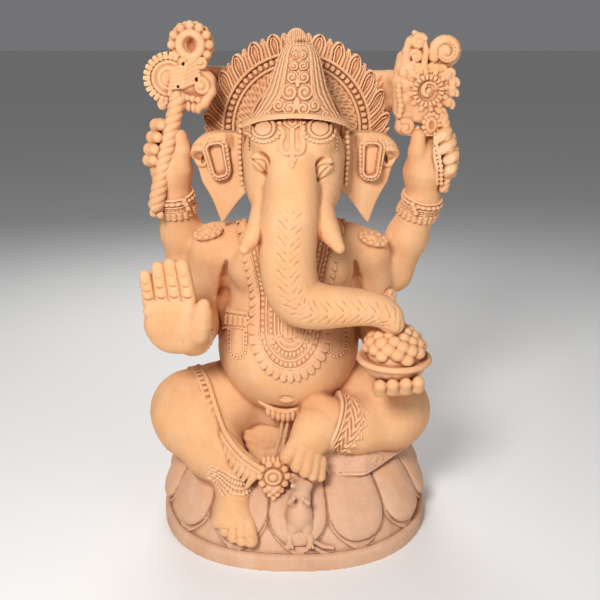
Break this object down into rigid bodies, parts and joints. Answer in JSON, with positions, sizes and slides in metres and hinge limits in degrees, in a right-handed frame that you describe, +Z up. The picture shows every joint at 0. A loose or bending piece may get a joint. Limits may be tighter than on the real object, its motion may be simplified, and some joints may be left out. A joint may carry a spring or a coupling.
{
  "type": "stone deity idol",
  "caption": "Carved sandstone elephant-headed seated deity idol with four arms, halo and crown, on an oval lotus plinth with a flat underside.",
  "frame": {"origin": "middle of the flat underside of the plinth, on the surface that the idol stands on", "axes": "+Z up, the figure faces -Y, +X is towards the figure's own left side (the side of the bowl and noose)"},
  "size_m": [0.374, 0.34, 0.609],
  "materials": {
    "smooth_stone": "matt, rubbed smooth by hand, warm orange-pink sandstone",
    "carved_stone": "matt, undercut carving with darker hollows",
    "base_stone": "matt, pinker sandstone with fine tooling"
  },
  "bodies": {
    "root": {"plinth": "base_stone", "lotus_seat": "base_stone", "lotus_petals": "base_stone", "seat_cloth": "base_stone", "torso": "smooth_stone", "loincloth": "carved_stone", "right_leg": "smooth_stone", "right_foot": "smooth_stone", "left_leg": "smooth_stone", "left_foot": "smooth_stone", "right_front_arm": "smooth_stone", "right_front_hand": "smooth_stone", "left_front_arm": "smooth_stone", "left_front_hand": "smooth_stone", "right_rear_arm": "smooth_stone", "right_rear_hand": "smooth_stone", "left_rear_arm": "smooth_stone", "left_rear_hand": "smooth_stone", "head": "smooth_stone", "trunk": "smooth_stone", "right_tusk": "smooth_stone", "left_tusk": "smooth_stone", "right_ear": "smooth_stone", "left_ear": "smooth_stone", "crown": "carved_stone", "crown_brim": "carved_stone", "halo": "carved_stone", "halo_beads": "carved_stone", "halo_flames": "carved_stone", "axe": "carved_stone", "axe_shaft": "carved_stone", "noose": "carved_stone", "noose_rope": "carved_stone", "bowl": "carved_stone", "sweets": "carved_stone", "garland": "carved_stone", "belly_band": "carved_stone", "right_front_bracelet": "carved_stone", "right_rear_bracelet": "carved_stone", "left_rear_bracelet": "carved_stone", "right_armlet": "carved_stone", "left_armlet": "carved_stone", "right_anklet": "carved_stone", "sash": "carved_stone", "rosette": "carved_stone", "left_thigh_cuff": "carved_stone", "forehead_ornament": "carved_stone", "right_ear_ring": "carved_stone", "left_ear_ring": "carved_stone", "mouse": "base_stone"}
  },
  "joints": []
}
